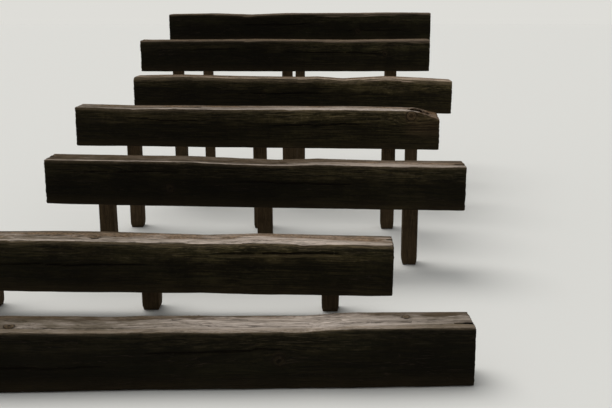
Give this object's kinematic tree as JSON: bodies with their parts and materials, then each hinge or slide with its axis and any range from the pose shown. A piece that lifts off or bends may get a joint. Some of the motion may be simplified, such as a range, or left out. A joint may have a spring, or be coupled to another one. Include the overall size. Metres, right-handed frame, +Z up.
{
  "type": "wooden trail stairs",
  "caption": "Trail stairs of heavy weathered timber risers set across a slope, each pinned from behind by square wooden stakes, with worn arrises, drying splits and a rotted end.",
  "frame": {"origin": "middle of the lowest timber's underside, at ground level", "axes": "+X to the right of a person walking up, +Y uphill along the flight, +Z up"},
  "size_m": [2.326, 3.7866, 1.0822],
  "materials": {
    "weathered_timber": "old sawn timber, weathered grey-tan on top and dark brown on its face",
    "stake_wood": "rough sawn stake, brown and soil-stained, with rusty steel spike heads"
  },
  "bodies": {
    "root": {"step_1_stake_left": "stake_wood", "step_1_stake_middle": "stake_wood", "step_1_stake_right": "stake_wood", "step_1_timber": "weathered_timber", "step_2_stake_left": "stake_wood", "step_2_stake_middle": "stake_wood", "step_2_stake_right": "stake_wood", "step_2_timber": "weathered_timber", "step_3_stake_left": "stake_wood", "step_3_stake_middle": "stake_wood", "step_3_stake_right": "stake_wood", "step_3_timber": "weathered_timber", "step_4_stake_left": "stake_wood", "step_4_stake_middle": "stake_wood", "step_4_stake_right": "stake_wood", "step_4_timber": "weathered_timber", "step_5_stake_left": "stake_wood", "step_5_stake_middle": "stake_wood", "step_5_stake_right": "stake_wood", "step_5_timber": "weathered_timber", "step_6_stake_left": "stake_wood", "step_6_stake_middle": "stake_wood", "step_6_stake_right": "stake_wood", "step_6_timber": "weathered_timber", "step_7_stake_left": "stake_wood", "step_7_stake_middle": "stake_wood", "step_7_stake_right": "stake_wood", "step_7_timber": "weathered_timber"}
  },
  "joints": []
}
